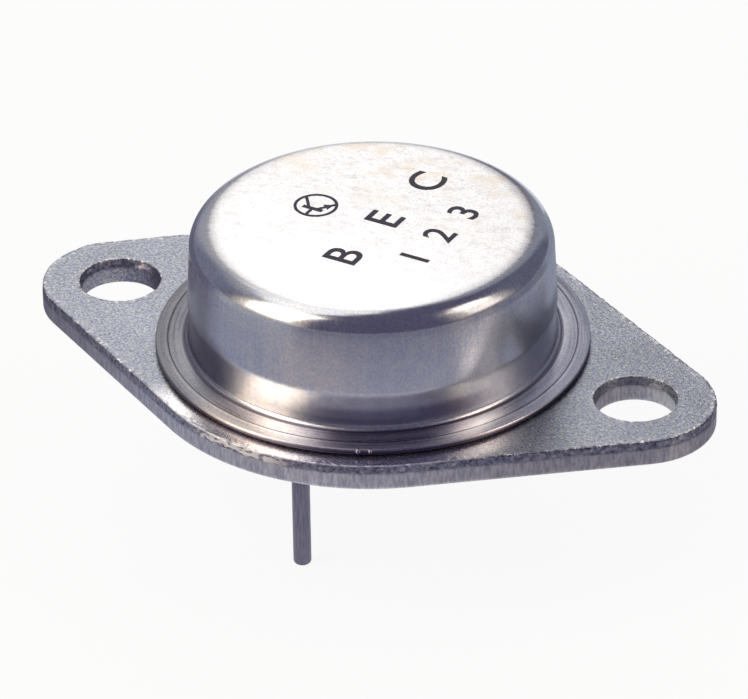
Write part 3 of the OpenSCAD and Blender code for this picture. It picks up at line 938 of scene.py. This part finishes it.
floor_r, tent_r, apron_r = 0.9, 0.75, 0.6
world = bpy.data.worlds.new("surround")
scene.world = world
world.use_nodes = True
tree = world.node_tree
sky = tree.nodes["Background"]
tree.links.new(figure(tree, "MULTIPLY_ADD", seen(tree), 0.5, 0.5), sky.inputs["Strength"])
sky.inputs["Color"].default_value = (1, 1, 1, 1)

nothing()
bpy.ops.mesh.primitive_circle_add(vertices=128, radius=floor_r, fill_type="NGON",
                                  location=(0, 0, object_low.z - 0.01 * MM))
floor = bpy.context.object
floor.name = "floor"
bpy.ops.object.transform_apply(location=True)
white, tree, shader = finish("floor_white", Roughness=0.9, Base_Color=(0.95, 0.95, 0.95, 1))
glow = add(tree, "Emission", {"Color": (1, 1, 1, 1), "Strength": 1.0})
lit = add(tree, "MixShader", {0: times(tree, seen(tree), 0.9), 1: shader.outputs[0], 2: glow.outputs[0]})
clear = add(tree, "BsdfTransparent")
under = add(tree, "NewGeometry").outputs["Backfacing"]
both = add(tree, "MixShader", {0: under, 1: lit.outputs[0], 2: clear.outputs[0]})
tree.links.new(both.outputs[0], tree.nodes["Material Output"].inputs["Surface"])
floor.data.materials.append(white)


def lamp(name, azimuth, elevation, distance, wide, high, radiance, tone):
    """A softbox that faces the object, so many degrees wide and high from there."""
    width, height = [2 * distance * tan(radians(angle / 2)) for angle in (wide, high)]
    place = towards(azimuth, elevation, distance)
    nothing()
    bpy.ops.object.light_add(type="AREA")
    box = bpy.context.object
    box.name = name
    box.data.shape = "RECTANGLE"
    box.data.size, box.data.size_y = width, height
    box.data.energy = radiance * 4 * width * height
    box.data.color = tone
    box.rotation_mode = "QUATERNION"
    box.location = place
    box.rotation_quaternion = (place - middle).to_track_quat("Z", "Y")
    box.visible_camera = False


lamp("softbox_back", -155, 38, 0.60, 14, 40, 0.80, (1.0, 0.99, 0.97))
lamp("softbox_front_left", -40, 33, 0.55, 31, 52, 2.3, (1.0, 0.86, 0.72))
lamp("lamp_right", 97, 31, 0.55, 22, 38, 0.75, (1.0, 0.87, 0.76))


def unlit(material, tree, piece, tone, share):
    """A glowing tone, a painted reflection that only metal and glass mirror, clear where the share is 0."""
    glow = add(tree, "Emission", {"Color": tone, "Strength": 1.0})
    clear = add(tree, "BsdfTransparent")
    mixed = add(tree, "MixShader", {0: share, 1: clear.outputs[0], 2: glow.outputs[0]})
    tree.links.new(mixed.outputs[0], tree.nodes["Material Output"].inputs["Surface"])
    piece.data.materials.append(material)
    piece.visible_camera = piece.visible_diffuse = piece.visible_shadow = False


nothing()
bpy.ops.mesh.primitive_uv_sphere_add(segments=48, ring_count=24, radius=tent_r)
tent = bpy.context.object
tent.name = "dark_tent"
tent_reflection_glow, tree, shader = finish("tent_reflection_glow")
place = add(tree, "TexCoord").outputs["Object"]
facing = split(tree, vector(tree, "NORMALIZE", place))
compass = compass_round(tree, facing)
upwards = figure(tree, "DEGREES", figure(tree, "ARCSINE", facing["Z"]))
# Each sheet's reach round and upwards, how soft its edges are, all in degrees, and its tone
tent_sheets = (
    ((-140, -72), (-95, 60), 12, (0.22, 0.22, 0.29)), ((112, 168), (-95, 55), 12, (0.15, 0.15, 0.20)),
    ((168, 200), (-95, 60), 5, (0.32, 0.33, 0.39)), ((-200, -168), (-95, 60), 5, (0.32, 0.33, 0.39)),
    ((-150, -118), (5, 52), 8, (0.44, 0.43, 0.47)), ((-145, -60), (40, 62), 10, (0.42, 0.41, 0.44)),
    ((-64, -17), (-22, 66), 7, (0.90, 0.76, 0.60)), ((76, 116), (6, 48), 8, (0.66, 0.56, 0.49)),
    ((90, 114), (39, 56), 3, (2.20, 1.85, 1.55)), ((-160, -36), (55, 84), 5, (1.50, 1.42, 1.32)),
    ((-160, -120), (48, 80), 4, (1.40, 1.34, 1.27)), ((-160, -142), (38, 64), 4, (1.40, 1.37, 1.33)),
    ((-160, -148), (-95, 46), 3, (0.98, 0.97, 0.97)))
tone = (0.115, 0.105, 0.165)
for reach_round, reach_up, soft, colour in tent_sheets:
    hung = times(tree, between(tree, compass, *reach_round, soft), between(tree, upwards, *reach_up, soft))
    tone = blend(tree, hung, tone, colour)
# The tent glows with these tones: a painted reflection that lights nothing, brighter than white where it
# stands for lamps
unlit(tent_reflection_glow, tree, tent, tone, 1.0)

nothing()
bpy.ops.mesh.primitive_circle_add(vertices=96, radius=apron_r, fill_type="NGON")
apron = bpy.context.object
apron.name = "grey_apron"
apron.location = (0, 0, object_low.z + 0.2 * MM)
apron_reflection_glow, tree, shader = finish("apron_reflection_glow")
place = add(tree, "TexCoord").outputs["Object"]
reach = vector(tree, "LENGTH", place)
laid = along(tree, reach, 10 * MM, 22 * MM, kind="SMOOTHSTEP")
facing = split(tree, place)
compass = compass_round(tree, facing)
across = along(tree, facing["X"], -30 * MM, 20 * MM)
tone = blend(tree, across, (0.33, 0.33, 0.41), (0.38, 0.38, 0.45))
near = blend(tree, across, (0.52, 0.55, 0.68), (0.60, 0.55, 0.60))
far = blend(tree, between(tree, compass, -75, -20, 10), (0.23, 0.22, 0.28), (0.48, 0.47, 0.50))
far = blend(tree, between(tree, compass, 70, 100, 10), far, (0.36, 0.32, 0.34))
# The bright strip, a painted reflection that glows brighter than white, slants: it turns by so many degrees
# for each metre outwards
strip_start, strip_slant = 36.2 * MM, -4 / MM
beyond = figure(tree, "MAXIMUM", figure(tree, "SUBTRACT", reach, strip_start), 0.0)
slid = figure(tree, "MULTIPLY_ADD", beyond, strip_slant, compass)
bright_strip = times(tree, between(tree, slid, 74.5, 83.5, 5),
                     between(tree, reach, 33 * MM, 40.5 * MM, 0.8 * MM))
dark_strip = times(tree, between(tree, compass, 109, 146, 6),
                   between(tree, reach, 31.8 * MM, 36.2 * MM, 0.7 * MM))
for share, colour in ((between(tree, compass, -28, 12, 12), (0.52, 0.45, 0.46)),
                      (between(tree, reach, -1, 29.5 * MM, 1.5 * MM), near),
                      (between(tree, reach, 43 * MM, 9, 3 * MM), far),
                      (bright_strip, (2.5, 2.1, 1.85)), (dark_strip, (0.11, 0.10, 0.15)),
                      (between(tree, compass, -128, -81, 8), (0.16, 0.15, 0.21)),
                      (between(tree, compass, 148, 200, 6), (0.32, 0.34, 0.42)),
                      (between(tree, compass, -200, -140, 6), (0.75, 0.75, 0.80))):
    tone = blend(tree, share, tone, colour)
# The apron glows with these tones, a painted reflection that lights nothing, and fades out near the object
unlit(apron_reflection_glow, tree, apron, tone, laid)

nothing()
bpy.ops.object.camera_add()
camera = bpy.context.object
aim = Vector((-0.102, 0.319, 0.537)) * MM
azimuth, elevation, distance, roll = radians(25.121), radians(31.755), 282.8 * MM, radians(-0.812)
back = Vector((sin(azimuth) * cos(elevation), -cos(azimuth) * cos(elevation), sin(elevation)))
camera.location = aim + back * distance
camera.rotation_mode = "QUATERNION"
camera.rotation_quaternion = back.to_track_quat("Z", "Y")
camera.rotation_quaternion.rotate(Matrix.Rotation(roll, 3, back).to_quaternion())
camera.data.lens, camera.data.sensor_width = 255.44, 36
camera.data.clip_start, camera.data.clip_end = 0.01, 10
scene.camera = camera
